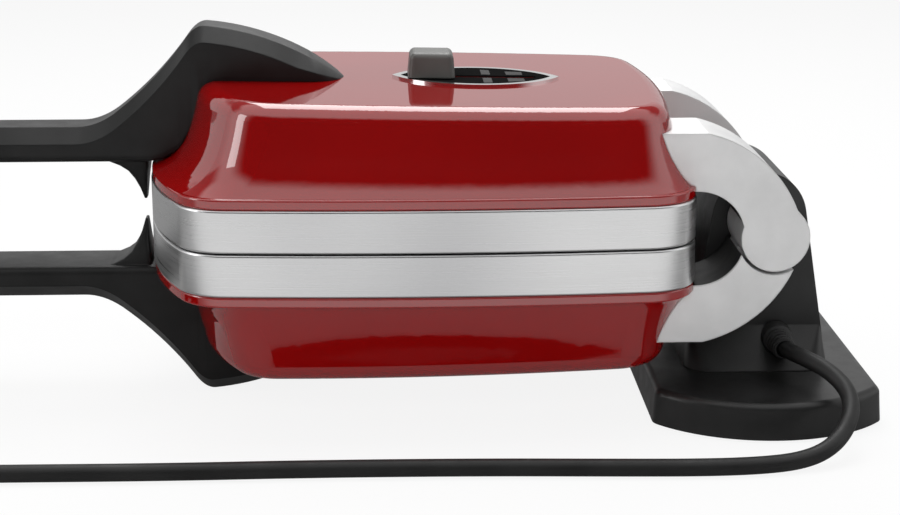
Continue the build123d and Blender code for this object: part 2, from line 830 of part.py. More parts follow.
with BuildPart() as pedestal_screws:
    with BuildSketch(level(roof_height - seam_height)):
        with GridLocations(2 * pedestal_screw_x, 2 * pedestal_screw_y, 2, 2):
            Circle(screw_head_r)
    extrude(amount=-screw_head)
    with BuildSketch(level(roof_height - seam_height)):
        with GridLocations(2 * pedestal_screw_x, 2 * pedestal_screw_y, 2, 2):
            Circle(screw_r)
    extrude(amount=foot_wall + pedestal_screw_length)
write(pedestal_screws.part, "pedestal_screws")

with BuildPart() as base_plate:
    add(foot_outline(base_plate_z, foot_wall))
    extrude(amount=base_plate_thickness)
    with BuildSketch(level(base_plate_z - seam_height)):
        with Locations(base_grid):
            Circle(base_screw_r)
    extrude(amount=base_plate_thickness, mode=Mode.SUBTRACT)
write(base_plate.part, "base_plate")

with BuildPart() as base_screws:
    with BuildSketch(level(base_plate_z - seam_height)):
        with Locations(base_grid):
            Circle(base_screw_head_r)
    extrude(amount=-base_screw_head)
    with BuildSketch(level(base_plate_z - seam_height)):
        with Locations(base_grid):
            Circle(base_screw_r)
    extrude(amount=roof_height - base_plate_z - 2)
write(base_screws.part, "base_screws")

with BuildPart() as rubber_feet:
    with BuildSketch(level(-seam_height)):
        with GridLocations(2 * pad_x, 2 * pad_y, 2, 2):
            Circle(pad_r)
    extrude(amount=base_plate_z)
    fillet(rubber_feet.faces().group_by(Axis.Z)[0].edges(), 0.8)
write(rubber_feet.part, "rubber_feet")

# Power cord: straight runs joined by arcs, then the outer form of its coil, its tail and its plug


def route_radii(points):
    """Radius of each corner of a route: a share of its shorter run over the tangent of half its turn."""
    radii = []
    for before, here, after in zip(points, points[1:], points[2:]):
        run_in = Vector(*here) - Vector(*before)
        run_out = Vector(*after) - Vector(*here)
        shorter = min(run_in.length, run_out.length)
        radii.append(run_share * shorter / tan(radians(run_in.get_angle(run_out) / 2)))
    return radii


def tube(points):
    """A round cord along a route."""
    radii = route_radii(points)
    print("bend radii", [round(radius, 1) for radius in radii])
    with BuildPart() as cord:
        with BuildLine() as route:
            FilletPolyline(*points, radius=radii)
        with BuildSketch(Plane(origin=route.line @ 0, z_dir=route.line % 0)):
            Circle(cord_r)
        sweep(path=route.line)
    length = sum(edge.length for edge in route.line.edges())
    print("length", round(length, 1), "volume over section", round(cord.part.volume / (pi * cord_r**2), 1))
    return cord.part


power_cord = tube(cord_points)
cord_tail = tube(tail_points)
write(power_cord, "power_cord")
write(cord_tail, "cord_tail")

coil_layers = 2
with BuildPart() as cord_coil:
    with BuildSketch():
        with Locations(coil_center):
            Circle(coil_r + cord_r)
            Circle(coil_r - cord_r, mode=Mode.SUBTRACT)
    extrude(amount=2 * cord_r * coil_layers)
    fillet(cord_coil.edges(), cord_r - 0.2)
    add(power_cord, mode=Mode.SUBTRACT)
    add(cord_tail, mode=Mode.SUBTRACT)
write(cord_coil.part, "cord_coil")

plug_start = tail_points[-1]
with BuildPart() as power_plug:
    plug_plane = Plane(origin=plug_start, x_dir=(-1, 0, 0), z_dir=(0, 1, 0))
    with BuildSketch(plug_plane):
        with BuildLine():
            Polyline(
                (0, 0),
                (0, cord_r + 1),
                (plug_neck_x, plug_neck_r),
                (plug_length - plug_face_length, plug_face_r - plug_edge_r),
                (plug_length - plug_face_length + plug_edge_r, plug_face_r),
                (plug_length, plug_face_r),
                (plug_length, 0),
                close=True,
            )
        make_face()
    revolve(axis=Axis(plug_start, (-1, 0, 0)))
write(power_plug.part, "power_plug")

with BuildPart() as plug_pins:
    pin_plane = Plane(
        origin=(plug_start[0] - plug_length, plug_start[1], plug_start[2]), x_dir=(0, 1, 0), z_dir=(-1, 0, 0)
    )
    with BuildSketch(pin_plane):
        with GridLocations(pin_spacing, 0, 2, 1):
            Circle(pin_r)
    extrude(amount=pin_length)
    fillet(plug_pins.faces().group_by(Axis.X)[0].edges(), 1.5)
write(plug_pins.part, "plug_pins")
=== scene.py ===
import json
import math

import bmesh
import bpy
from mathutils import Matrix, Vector


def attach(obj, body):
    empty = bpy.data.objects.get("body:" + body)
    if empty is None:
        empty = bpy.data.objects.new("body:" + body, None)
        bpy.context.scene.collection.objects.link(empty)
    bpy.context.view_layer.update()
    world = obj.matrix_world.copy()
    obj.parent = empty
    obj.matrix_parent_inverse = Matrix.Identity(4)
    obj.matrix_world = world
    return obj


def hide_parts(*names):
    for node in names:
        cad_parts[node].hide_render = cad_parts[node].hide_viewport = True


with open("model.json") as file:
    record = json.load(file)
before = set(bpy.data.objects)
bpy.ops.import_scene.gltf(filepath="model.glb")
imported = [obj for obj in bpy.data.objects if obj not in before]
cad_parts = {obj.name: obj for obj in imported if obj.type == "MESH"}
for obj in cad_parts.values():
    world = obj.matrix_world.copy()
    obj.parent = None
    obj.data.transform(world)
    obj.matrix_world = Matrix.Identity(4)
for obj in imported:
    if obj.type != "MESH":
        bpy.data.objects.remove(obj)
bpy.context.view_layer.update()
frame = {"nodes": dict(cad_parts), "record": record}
scene = bpy.context.scene
nodes = frame["nodes"]

# The camera: the photograph's view, from the right side and a little above
CAMERA_PLACE = (0.9744, -0.0065, 0.3183)
CAMERA_YAW = math.radians(2.2)
CAMERA_PITCH = math.radians(14.6)
camera_data = bpy.data.cameras.new("camera")
camera_data.sensor_width = 36.0
camera_data.lens = 80.0
camera_data.clip_start = 0.05
camera_data.clip_end = 60.0
camera = bpy.data.objects.new("camera", camera_data)
scene.collection.objects.link(camera)
forward = Vector(
    (
        -math.cos(CAMERA_YAW) * math.cos(CAMERA_PITCH),
        math.sin(CAMERA_YAW) * math.cos(CAMERA_PITCH),
        -math.sin(CAMERA_PITCH),
    )
)
camera.location = CAMERA_PLACE
camera.rotation_mode = "QUATERNION"
camera.rotation_quaternion = forward.to_track_quat("-Z", "Y")
scene.camera = camera

# The power cord: the points of the solid cord, then the turns of its coil and its tail, to the plug
CORD_DIAMETER = 0.008
CORD_ORDER = 3
CORD_STEPS = 8
CORD_ROUND_STEPS = 6
CORD_POINTS = [
    (0.0450, 0.1900, 0.0325),
    (0.0600, 0.1900, 0.0325),
    (0.0745, 0.1965, 0.0328),
    (0.0875, 0.2055, 0.0305),
    (0.0995, 0.2120, 0.0250),
    (0.1115, 0.2115, 0.0185),
    (0.1225, 0.2055, 0.0120),
    (0.1315, 0.1960, 0.0070),
    (0.1370, 0.1830, 0.0043),
    (0.1413, 0.1650, 0.0040),
    (0.1430, 0.1390, 0.0040),
    (0.1416, 0.1000, 0.0040),
    (0.1388, 0.0400, 0.0040),
    (0.1380, -0.0340, 0.0040),
    (0.1396, -0.1040, 0.0040),
    (0.1386, -0.1740, 0.0040),
    (0.1390, -0.2120, 0.0040),
]
COIL_CENTER = (0.095, -0.2385)
COIL_RADIUS = 0.0440
COIL_TURNS = 2.25
COIL_STEPS = 16
COIL_CLIMBS = ((0.60, 0.92), (1.60, 1.92))
TAIL_POINTS = [
    (0.0780, -0.2827, 0.0198),
    (0.0600, -0.2850, 0.0185),
    (0.0440, -0.2850, 0.0185),
]


def coil_points():
    """Points of the coil's turns, clockwise from the side where the cord comes in.
    Each turn lies on the one before, and climbs onto it before it comes round."""
    points = []
    # The curve runs inside its control points, so these lie a little further out than the coil
    spread = COIL_RADIUS / math.cos(math.pi / COIL_STEPS)
    for step in range(int(COIL_TURNS * COIL_STEPS) + 1):
        turn = step / COIL_STEPS
        angle = -2 * math.pi * turn
        climb = sum(min(max((turn - start) / (end - start), 0.0), 1.0) for start, end in COIL_CLIMBS)
        x = COIL_CENTER[0] + spread * math.cos(angle)
        y = COIL_CENTER[1] + spread * math.sin(angle)
        points.append((x, y, CORD_DIAMETER * (climb + 0.5)))
    return points


def nurbs(name, points, radius):
    """A smooth round cord with the given control points. The radius is given by the points, and the curve's
    own depth is 1, so that the bounds of the visual take the cord for as thick as it is."""
    curve = bpy.data.curves.new(name, "CURVE")
    curve.dimensions = "3D"
    curve.resolution_u = CORD_STEPS
    curve.bevel_depth = 1.0
    curve.bevel_resolution = CORD_ROUND_STEPS
    curve.use_fill_caps = True
    spline = curve.splines.new("NURBS")
    spline.points.add(len(points) - 1)
    for point, place in zip(spline.points, points):
        point.co = (*place, 1.0)
        point.radius = radius
    spline.order_u = CORD_ORDER
    spline.use_endpoint_u = True
    made = bpy.data.objects.new(name, curve)
    scene.collection.objects.link(made)
    return made


route = CORD_POINTS + coil_points() + TAIL_POINTS
cord = nurbs("mains_cord", route, CORD_DIAMETER / 2)
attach(cord, "stand")
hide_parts("power_cord", "cord_coil", "cord_tail")


def mesh_piece(name, vertices, faces, body, slot, smooth=True):
    """A mesh piece that rides a body; its slot is not used."""
    mesh = bpy.data.meshes.new(name)
    mesh.from_pydata(vertices, [], faces)
    work = bmesh.new()
    work.from_mesh(mesh)
    bmesh.ops.recalc_face_normals(work, faces=work.faces)
    work.to_mesh(mesh)
    work.free()
    mesh.polygons.foreach_set("use_smooth", [smooth] * len(mesh.polygons))
    made = bpy.data.objects.new(name, mesh)
    scene.collection.objects.link(made)
    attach(made, body)
    return made


def swept_ring(rings):
    """Vertices and faces of a closed tube through rings of equal numbers of points, joined end to end."""
    count = len(rings[0])
    vertices = [point for ring in rings for point in ring]
    faces = []
    for index in range(len(rings)):
        here = index * count
        there = (index + 1) % len(rings) * count
        for step in range(count):
            after = (step + 1) % count
            faces.append((here + step, here + after, there + after, there + step))
    return vertices, faces


# The strap that ties the coil: a soft band round both turns, with rounded edges. The record has no slot for
# it, and it takes a rubber finish of its own.
TIE_WIDTH = 0.007
TIE_WALL = 0.0011
TIE_EDGE = 0.0004
TIE_HALF = (0.0041, 0.0081)
TIE_CORNER = 0.0038
TIE_RAISE = 0.0006
TABLE_GAP = 0.0001
tie_middle = (COIL_CENTER[0] - COIL_RADIUS, COIL_CENTER[1], CORD_DIAMETER + TIE_RAISE)


def rounded_loop(half_x, half_z, corner, steps=10):
    """Points of a rounded rectangle about the origin."""
    points = []
    for quarter, (sign_x, sign_z) in enumerate(((1, 1), (-1, 1), (-1, -1), (1, -1))):
        for step in range(steps + 1):
            angle = math.pi / 2 * (quarter + step / steps)
            x = sign_x * (half_x - corner) + corner * math.cos(angle)
            z = sign_z * (half_z - corner) + corner * math.sin(angle)
            points.append((x, z))
    return points


# Round the strap's own section: how far out of the loop, and how far along the cord
tie_profile = [
    (0.0, -TIE_WIDTH / 2 + TIE_EDGE),
    (0.0, TIE_WIDTH / 2 - TIE_EDGE),
    (TIE_WALL * 0.35, TIE_WIDTH / 2),
    (TIE_WALL * 0.7, TIE_WIDTH / 2 - TIE_EDGE / 3),
    (TIE_WALL, TIE_WIDTH / 2 - TIE_EDGE * 2),
    (TIE_WALL, -TIE_WIDTH / 2 + TIE_EDGE * 2),
    (TIE_WALL * 0.7, -TIE_WIDTH / 2 + TIE_EDGE / 3),
    (TIE_WALL * 0.35, -TIE_WIDTH / 2),
]
tie_loops = []
for lift, across in tie_profile:
    tie_loops.append(rounded_loop(TIE_HALF[0] + lift, TIE_HALF[1] + lift, TIE_CORNER + lift))
tie_rings = []
for index in range(len(tie_loops[0])):
    ring = []
    for (lift, across), loop in zip(tie_profile, tie_loops):
        height = max(tie_middle[2] + loop[index][1], TABLE_GAP)
        ring.append((tie_middle[0] + loop[index][0], tie_middle[1] + across, height))
    tie_rings.append(ring)
tie = mesh_piece("coil_strap", *swept_ring(tie_rings), "stand", "gland_rubber")

# Ribs round the tapered sleeve where the cord leaves the stand
GLAND_START = 0.045
GLAND_LENGTH = 0.015
GLAND_RADII = (0.0062, 0.0048)
RIB_COUNT = 4
RIB_STEPS = 40
# Across a rib: how far along the sleeve, and how far out of it
RIB_PROFILE = ((-0.0010, -0.0004), (-0.0007, 0.0003), (0.0, 0.0006), (0.0007, 0.0003), (0.0010, -0.0004))
RIBS_BEFORE = 0.7
RIBS_BOTH_ENDS = 0.4
rib_vertices = []
rib_faces = []
for rib in range(RIB_COUNT):
    along = (rib + RIBS_BEFORE) / (RIB_COUNT + RIBS_BOTH_ENDS)
    middle = GLAND_START + GLAND_LENGTH * along
    base = GLAND_RADII[0] + (GLAND_RADII[1] - GLAND_RADII[0]) * along
    rings = []
    for step in range(RIB_STEPS):
        angle = 2 * math.pi * step / RIB_STEPS
        ring = []
        for shift, rise in RIB_PROFILE:
            y = CORD_POINTS[0][1] + (base + rise) * math.cos(angle)
            z = CORD_POINTS[0][2] + (base + rise) * math.sin(angle)
            ring.append((middle + shift, y, z))
        rings.append(ring)
    vertices, faces = swept_ring(rings)
    rib_faces += [tuple(corner + len(rib_vertices) for corner in face) for face in faces]
    rib_vertices += vertices
gland_ribs = mesh_piece("gland_ribs", rib_vertices, rib_faces, "stand", "gland_rubber")

# Printed blocks of the browning scale, a little above the inlay on both sides of the slot
HINGE_Y = 0.180
SEAM_Z = 0.092
LID_HEIGHT = 0.066
LID_FRONT_Y = -0.2665
LID_FALL = 3.7 / 210.0
INLAY_HEIGHT = 0.0007
MARK_DEPTH = 0.0001
MARK_HEIGHT = 0.00012
MARK_SLANT = 0.0012
# Each pair of blocks: where it starts and ends along the lid, and how far it reaches from and to sideways
MARK_ROWS = (
    (-0.1334, -0.1290, 0.0050, 0.0195),
    (-0.1212, -0.1130, 0.0050, 0.0150),
)


def on_inlay(x, y, lift):
    """A point over the slider's inlay, y measured from the hinge axis."""
    height = LID_HEIGHT - (y - LID_FRONT_Y) * LID_FALL + INLAY_HEIGHT + lift
    return (x, HINGE_Y + y, SEAM_Z + height)


mark_vertices = []
mark_faces = []
for start, end, inner, outer in MARK_ROWS:
    for side in (-1, 1):
        corners = [(inner, start), (outer, start), (outer - MARK_SLANT, end), (inner, end)]
        first = len(mark_vertices)
        mark_vertices += [on_inlay(side * x, y, -MARK_DEPTH) for x, y in corners]
        mark_vertices += [on_inlay(side * x, y, MARK_HEIGHT) for x, y in corners]
        mark_faces.append(tuple(first + 4 + step for step in range(4)))
        for step in range(4):
            after = (step + 1) % 4
            mark_faces.append((first + step, first + after, first + 4 + after, first + 4 + step))
scale_marks = mesh_piece("scale_marks", mark_vertices, mark_faces, "lid", "inlay_black", smooth=False)

# Handles: a grip that bends up into a bracket with a chamfered ridge, and a guard spike before the band.
# Places are measured from the hinge axis and from the seam, for the upper handle; the lower one mirrors it.
HANDLE_HALF_WIDTH = 0.0190
HANDLE_END_Y = -0.4150
HANDLE_END_ROUND = 0.0130
HANDLE_TIP_Y = -0.2010
RIDGE_DOWN = 0.0070
RIDGE_ACROSS = 0.0090
UNDER_ROUND = 0.0040
UNDER_STEPS = 5
GRIP_TOP = 0.0424
GRIP_BOTTOM = 0.0262
SLOPE_START = (-0.3220, GRIP_TOP)
SLOPE_MIDDLE = (-0.3015, 0.0583)
RIDGE_CORNER = (-0.2728, 0.0919)
CREST_MIDDLE = (-0.2360, 0.0844)
RIDGE_TIP = (HANDLE_TIP_Y, 0.0646)
BEND_LENGTH = 0.0090
CORNER_LENGTH = 0.0050
# The grip's free end: how much its edge takes off, how far that reaches, and where the sections lie
EDGE_ROUND = 0.0015
EDGE_REACH = 0.0018
TIP_STEP = 0.0004
END_STEPS = (0.0002, 0.0008, EDGE_REACH, 0.0035, 0.0060, 0.0090, HANDLE_END_ROUND)
LEAST_HALF_WIDTH = 0.0008
SHARP_ANGLE = math.radians(24)
# The underside's points, each a place along the handle and a height
UNDERSIDE = [
    (HANDLE_END_Y, GRIP_BOTTOM),
    (-0.2965, GRIP_BOTTOM),
    (-0.2895, 0.0272),
    (-0.2810, 0.0320),
    (-0.2750, 0.0410),
    (-0.2710, 0.0520),
    (-0.2680, 0.0590),
    (-0.2630, 0.0632),
    (-0.2590, 0.0640),
    (HANDLE_TIP_Y, 0.0636),
]
GUARD_ROUND = 0.0025
# The guard's sections from its root to its point: height, front, rear and half width
GUARD_ROWS = [
    (0.0300, -0.3200, -0.2970, 0.0150),
    (0.0262, -0.3170, -0.2972, 0.0148),
    (0.0235, -0.3110, -0.2975, 0.0138),
    (0.0205, -0.3072, -0.2979, 0.0122),
    (0.0160, -0.3044, -0.2984, 0.0098),
    (0.0110, -0.3022, -0.2988, 0.0068),
    (0.0070, -0.3010, -0.2991, 0.0046),
    (0.0052, -0.3005, -0.2993, 0.0036),
]


def arc_through(start, middle, end, steps):
    """Points of the circular arc through three points."""
    (ax, ay), (bx, by), (cx, cy) = start, middle, end
    double = 2 * (ax * (by - cy) + bx * (cy - ay) + cx * (ay - by))
    a = ax * ax + ay * ay
    b = bx * bx + by * by
    c = cx * cx + cy * cy
    x = (a * (by - cy) + b * (cy - ay) + c * (ay - by)) / double
    y = (a * (cx - bx) + b * (ax - cx) + c * (bx - ax)) / double
    radius = math.hypot(ax - x, ay - y)
    first = math.atan2(ay - y, ax - x)
    last = math.atan2(cy - y, cx - x)
    turn = (last - first + math.pi) % (2 * math.pi) - math.pi
    angles = [first + turn * step / steps for step in range(steps + 1)]
    return [(x + radius * math.cos(angle), y + radius * math.sin(angle)) for angle in angles]


def height_at(line, y):
    """The height of a line of points at a place along it."""
    for (y0, z0), (y1, z1) in zip(line, line[1:]):
        if y <= y1:
            return z0 + (z1 - z0) * max(y - y0, 0.0) / (y1 - y0)
    return line[-1][1]


def rounded_corner(line, corner, length, steps=8):
    """The line with one of its corners replaced by a smooth bend."""
    before = (corner[0] - length, height_at(line, corner[0] - length))
    after = (corner[0] + length, height_at(line, corner[0] + length))
    bent = [point for point in line if point[0] < before[0]]
    for step in range(steps + 1):
        t = step / steps
        places = zip(before, corner, after)
        bent.append(tuple((1 - t) ** 2 * p + 2 * t * (1 - t) * q + t * t * r for p, q, r in places))
    return bent + [point for point in line if point[0] > after[0]]


ridge = [(HANDLE_END_Y, GRIP_TOP)] + arc_through(SLOPE_START, SLOPE_MIDDLE, RIDGE_CORNER, steps=14)
ridge += arc_through(RIDGE_CORNER, CREST_MIDDLE, RIDGE_TIP, steps=18)[1:]
ridge = rounded_corner(ridge, SLOPE_START, BEND_LENGTH)
ridge = rounded_corner(ridge, RIDGE_CORNER, CORNER_LENGTH)


def handle_section(y, shrink=0.0):
    """The closed outline across the handle at a place along it, as pairs of x and height."""
    top = height_at(ridge, y) - shrink
    bottom = height_at(UNDERSIDE, y) + shrink
    from_end = min(max(y - HANDLE_END_Y, 0.0), HANDLE_END_ROUND)
    half = HANDLE_HALF_WIDTH - HANDLE_END_ROUND
    half += math.sqrt(HANDLE_END_ROUND**2 - (HANDLE_END_ROUND - from_end) ** 2)
    from_tip = min(max(HANDLE_TIP_Y - y, 0.0), HANDLE_HALF_WIDTH)
    half = min(half, math.sqrt(HANDLE_HALF_WIDTH**2 - (HANDLE_HALF_WIDTH - from_tip) ** 2))
    half = max(half - shrink, LEAST_HALF_WIDTH)
    tall = top - bottom
    # Where the section is small, its bevels take only a share of it
    down = min(RIDGE_DOWN, 0.45 * tall)
    across = min(RIDGE_ACROSS, 0.5 * half)
    under = min(UNDER_ROUND, 0.3 * tall, 0.5 * half)
    right = [(half - across, top), (half, top - down), (half, bottom + under)]
    for step in range(1, UNDER_STEPS + 1):
        angle = math.pi / 2 * step / UNDER_STEPS
        right.append((half - under + under * math.cos(angle), bottom + under - under * math.sin(angle)))
    return right + [(-x, z) for x, z in reversed(right)]


def loft(rings):
    """Vertices and faces of a form through rings of equal numbers of points, capped at both ends."""
    count = len(rings[0])
    vertices, faces = swept_ring(rings)
    faces = faces[: (len(rings) - 1) * count]
    faces.append(tuple(range(count)))
    faces.append(tuple(range((len(rings) - 1) * count, len(rings) * count)))
    return vertices, faces


def handle_forms(side):
    """Vertices and faces of a handle with its guard; side is 1 for the upper one and -1 for the lower."""
    places = {y for y, z in ridge + UNDERSIDE} | {HANDLE_TIP_Y - TIP_STEP}
    rings = []
    for y in sorted([*places, *(HANDLE_END_Y + step for step in END_STEPS)]):
        shrink = EDGE_ROUND * (1 - math.sqrt(1 - max(1 - (y - HANDLE_END_Y) / EDGE_REACH, 0.0) ** 2))
        rings.append([(x, HINGE_Y + y, SEAM_Z + side * z) for x, z in handle_section(y, shrink)])
    vertices, faces = loft(rings)
    rings = []
    for z, front, rear, half in GUARD_ROWS:
        corner = min(GUARD_ROUND, 0.42 * (rear - front))
        middle = (front + rear) / 2
        loop = rounded_loop(half, (rear - front) / 2, corner, steps=4)
        rings.append([(x, HINGE_Y + middle + y, SEAM_Z + side * z) for x, y in loop])
    more, others = loft(rings)
    faces += [tuple(corner + len(vertices) for corner in face) for face in others]
    return vertices + more, faces


handles = []
for name, body, side in (("upper_handle", "lid", 1), ("lower_handle", "lower_half", -1)):
    piece = mesh_piece(name + "_form", *handle_forms(side), body, "handle_black")
    piece.data.set_sharp_from_angle(angle=SHARP_ANGLE)
    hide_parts(name)
    handles.append(piece)


# Materials
EDGE_SAMPLES = 6


def add_node(tree, kind, inputs=(), **settings):
    """A node with its settings. Its inputs are numbers to set or outputs to link, by order from a tuple
    and by name from a dictionary."""
    made = tree.nodes.new(kind)
    for key, value in settings.items():
        setattr(made, key, value)
    for key, value in inputs.items() if isinstance(inputs, dict) else enumerate(inputs):
        if isinstance(value, bpy.types.NodeSocket):
            tree.links.new(value, made.inputs[key])
        else:
            made.inputs[key].default_value = value
    return made


class Shader:
    """A node material with one Principled shader, and short ways to add textures to it."""

    def __init__(self, name, **values):
        self.material = bpy.data.materials.new(name)
        self.material.use_nodes = True
        self.tree = self.material.node_tree
        self.surface = self.tree.nodes["Principled BSDF"]
        self.coordinate = add_node(self.tree, "ShaderNodeTexCoord").outputs["Object"]
        for key, value in values.items():
            self.surface.inputs[key.replace("_", " ")].default_value = value

    def noise(self, scale, detail, stretch=(1, 1, 1), roughness=0.55):
        """A noise texture over the piece's own coordinates, in metres; returns its grey output."""
        mapping = add_node(self.tree, "ShaderNodeMapping", {"Vector": self.coordinate, "Scale": stretch})
        inputs = {"Vector": mapping.outputs["Vector"], "Scale": scale, "Detail": detail}
        inputs["Roughness"] = roughness
        return add_node(self.tree, "ShaderNodeTexNoise", inputs).outputs["Fac"]

    def ramp(self, source, low, high, start=0.3, end=0.7):
        """Colours or greys from low to high as the source goes from start to end."""
        ramp = add_node(self.tree, "ShaderNodeValToRGB", {"Fac": source})
        for element, place, value in zip(ramp.color_ramp.elements, (start, end), (low, high)):
            element.position = place
            element.color = (*value, 1.0) if isinstance(value, tuple) else (value, value, value, 1.0)
        return ramp.outputs["Color"]

    def color(self, source, low, high, *ends):
        """The base colour, from a ramp."""
        self.tree.links.new(self.ramp(source, low, high, *ends), self.surface.inputs["Base Color"])

    def rough(self, source, low, high):
        """The roughness, from a ramp."""
        self.tree.links.new(self.ramp(source, low, high), self.surface.inputs["Roughness"])

    def soft_edges(self, radius):
        """Edges that catch the light as if rounded by the radius."""
        bevel = add_node(self.tree, "ShaderNodeBevel", {"Radius": radius}, samples=EDGE_SAMPLES)
        self.tree.links.new(bevel.outputs["Normal"], self.surface.inputs["Normal"])

    def bump(self, source, strength, distance):
        """A relief in the surface, on top of any soft edges."""
        normal = self.surface.inputs["Normal"]
        inputs = {"Strength": strength, "Distance": distance, "Height": source}
        if normal.links:
            inputs["Normal"] = normal.links[0].from_socket
        bump = add_node(self.tree, "ShaderNodeBump", inputs)
        self.tree.links.new(bump.outputs["Normal"], normal)


def enamel(name):
    """Glossy enamel: a clear coat that mirrors the studio over a dull red ground."""
    shader = Shader(name, Coat_Weight=1.0, Coat_Roughness=0.04, Coat_IOR=2.0, Specular_IOR_Level=0.0)
    shader.color(shader.noise(9, 2), (0.270, 0.0006, 0.0008), (0.305, 0.0010, 0.0012))
    shader.rough(shader.noise(40, 3), 0.34, 0.42)
    shader.bump(shader.noise(22, 1), 0.05, 0.0006)
    return shader.material


def brushed(name, light, dark, along, scale=12, low=0.24, high=0.38, painted_reflections=0.0):
    """Metal brushed across the stretched axis, with a share of slow light and dark patches painted into its
    colour as reflections.
    """
    shader = Shader(name, Metallic=1.0)
    grain = shader.noise(scale, 8, along, 0.7)
    # Painted reflection: slow light and dark patches, mixed into the colour by the given share
    painted_patches = shader.noise(9, 1, (0.5, 1, 0.5))
    grain_and_painted_reflections = add_node(shader.tree, "ShaderNodeMix", {"Factor": painted_reflections, "A": grain, "B": painted_patches})
    spread = 0.1 * (1 - painted_reflections)
    shader.color(grain_and_painted_reflections.outputs["Result"], dark, light, 0.35 - spread, 0.65 + spread)
    shader.rough(grain, low, high)
    shader.bump(grain, 0.12, 0.0002)
    return shader.material


def moulded(name, dark, light, low=0.34, high=0.46, grain=1500, strength=0.12, shine=0.5):
    """Moulded plastic or rubber with a fine grain and faint colour changes."""
    shader = Shader(name, Specular_IOR_Level=shine)
    shader.soft_edges(0.0010)
    shader.color(shader.noise(30, 3), dark, light)
    shader.rough(shader.noise(90, 4), low, high)
    shader.bump(shader.noise(grain, 2), strength, 0.0003)
    return shader.material


def cast(name, dark, light, low=0.36, high=0.48, metallic=1.0):
    """Cast and blasted metal."""
    shader = Shader(name, Metallic=metallic)
    shader.soft_edges(0.0012)
    shader.color(shader.noise(45, 5), dark, light)
    shader.rough(shader.noise(120, 3), low, high)
    shader.bump(shader.noise(1800, 2), 0.1, 0.0003)
    return shader.material


def coated(name):
    """A dark release coating with light specks."""
    shader = Shader(name, Metallic=0.0, Specular_IOR_Level=0.6)
    shader.color(shader.noise(900, 3), (0.022, 0.022, 0.024), (0.06, 0.06, 0.062), 0.4, 0.62)
    shader.rough(shader.noise(200, 3), 0.3, 0.45)
    shader.bump(shader.noise(1400, 3), 0.15, 0.0003)
    return shader.material


# Every finish: the function that makes it, and the values that it takes, in its own order. The names are
# the record's slots, but for the strap's rubber and the scale's print. The grain of a brushed metal runs
# across the axis with the largest of the three whole numbers.
FINISHES = {
    "red_enamel": (enamel,),
    # The band takes a 0.6 share of painted reflection patches in its colour
    "brushed_band": (brushed, 0.84, (0.52, 0.52, 0.53), (1, 1, 160), 12, 0.24, 0.38, 0.6),
    "coated_plate": (coated,),
    "element_sheath": (cast, (0.20, 0.18, 0.17), (0.34, 0.31, 0.28)),
    "shield_sheet": (brushed, 0.62, 0.48, (1, 60, 1)),
    "screw_steel": (cast, (0.40, 0.40, 0.41), 0.58, 0.28, 0.40),
    "terminal_ceramic": (moulded, (0.62, 0.59, 0.52), (0.74, 0.71, 0.64), 0.6, 0.8),
    "cast_arm": (cast, 0.76, 0.84, 0.40, 0.52, 0.35),
    "liner_black": (moulded, 0.010, 0.020, 0.5, 0.65),
    "handle_black": (moulded, 0.011, 0.018, 0.34, 0.44, 1500, 0.12, 0.22),
    "stand_black": (moulded, 0.014, 0.022, 0.30, 0.42, 1500, 0.12, 0.45),
    "plate_steel": (brushed, 0.50, 0.38, (60, 1, 1)),
    "foot_rubber": (moulded, 0.012, 0.022, 0.7, 0.85),
    "axle_steel": (brushed, 0.66, 0.50, (120, 1, 1)),
    "washer_brass": (brushed, (0.72, 0.52, 0.22), (0.58, 0.40, 0.16), (1, 60, 1)),
    "gland_rubber": (moulded, 0.014, 0.024, 0.5, 0.62),
    "cord_jacket": (moulded, 0.010, 0.018, 0.42, 0.55, 1500, 0.12, 0.4),
    "tie_rubber": (moulded, 0.030, 0.048, 0.6, 0.75),
    "plug_black": (moulded, 0.014, 0.026, 0.45, 0.58),
    "pin_metal": (brushed, (0.80, 0.76, 0.66), (0.66, 0.62, 0.52), (60, 1, 1)),
    "thermostat_case": (moulded, (0.58, 0.55, 0.48), (0.70, 0.67, 0.60), 0.6, 0.8),
    "bezel_chrome": (brushed, 0.86, 0.78, (1, 1, 1), 40, 0.08, 0.16),
    "inlay_black": (moulded, 0.008, 0.012, 0.45, 0.55, 600, 0.02, 0.0),
    "knob_black": (moulded, (0.085, 0.085, 0.080), (0.125, 0.125, 0.118), 0.36, 0.46),
    "carrier_plastic": (moulded, 0.06, 0.10, 0.5, 0.6),
    "scale_print": (moulded, 0.075, 0.11, 0.5, 0.6, 800, 0.03, 0.0),
}
materials = {name: make(name, *values) for name, (make, *values) in FINISHES.items()}
for part in frame["record"]["subparts"]:
    node = nodes[part["node"]]
    node.data.materials.clear()
    node.data.materials.append(materials[part["material_slot"]])
looks = [(cord, "cord_jacket"), (tie, "tie_rubber")]
looks += [(gland_ribs, "gland_rubber"), (scale_marks, "scale_print")]
looks += [(handle, "handle_black") for handle in handles]
for piece, finish in looks:
    piece.data.materials.append(materials[finish])


def smooth_step(tree, source, start, end, low, high):
    """A value that goes smoothly from low to high as the source goes from start to end."""
    inputs = (source, start, end, low, high)
    return add_node(tree, "ShaderNodeMapRange", inputs, interpolation_type="SMOOTHSTEP").outputs[0]


def between(tree, share, low, high):
    """A value that is low where the share is 0 and high where it is 1."""
    return add_node(tree, "ShaderNodeMapRange", (share, 0.0, 1.0, low, high)).outputs[0]


def arithmetic(tree, operation, *values, **settings):
    """The result of a sum or product of values."""
    return add_node(tree, "ShaderNodeMath", values, operation=operation, **settings).outputs[0]
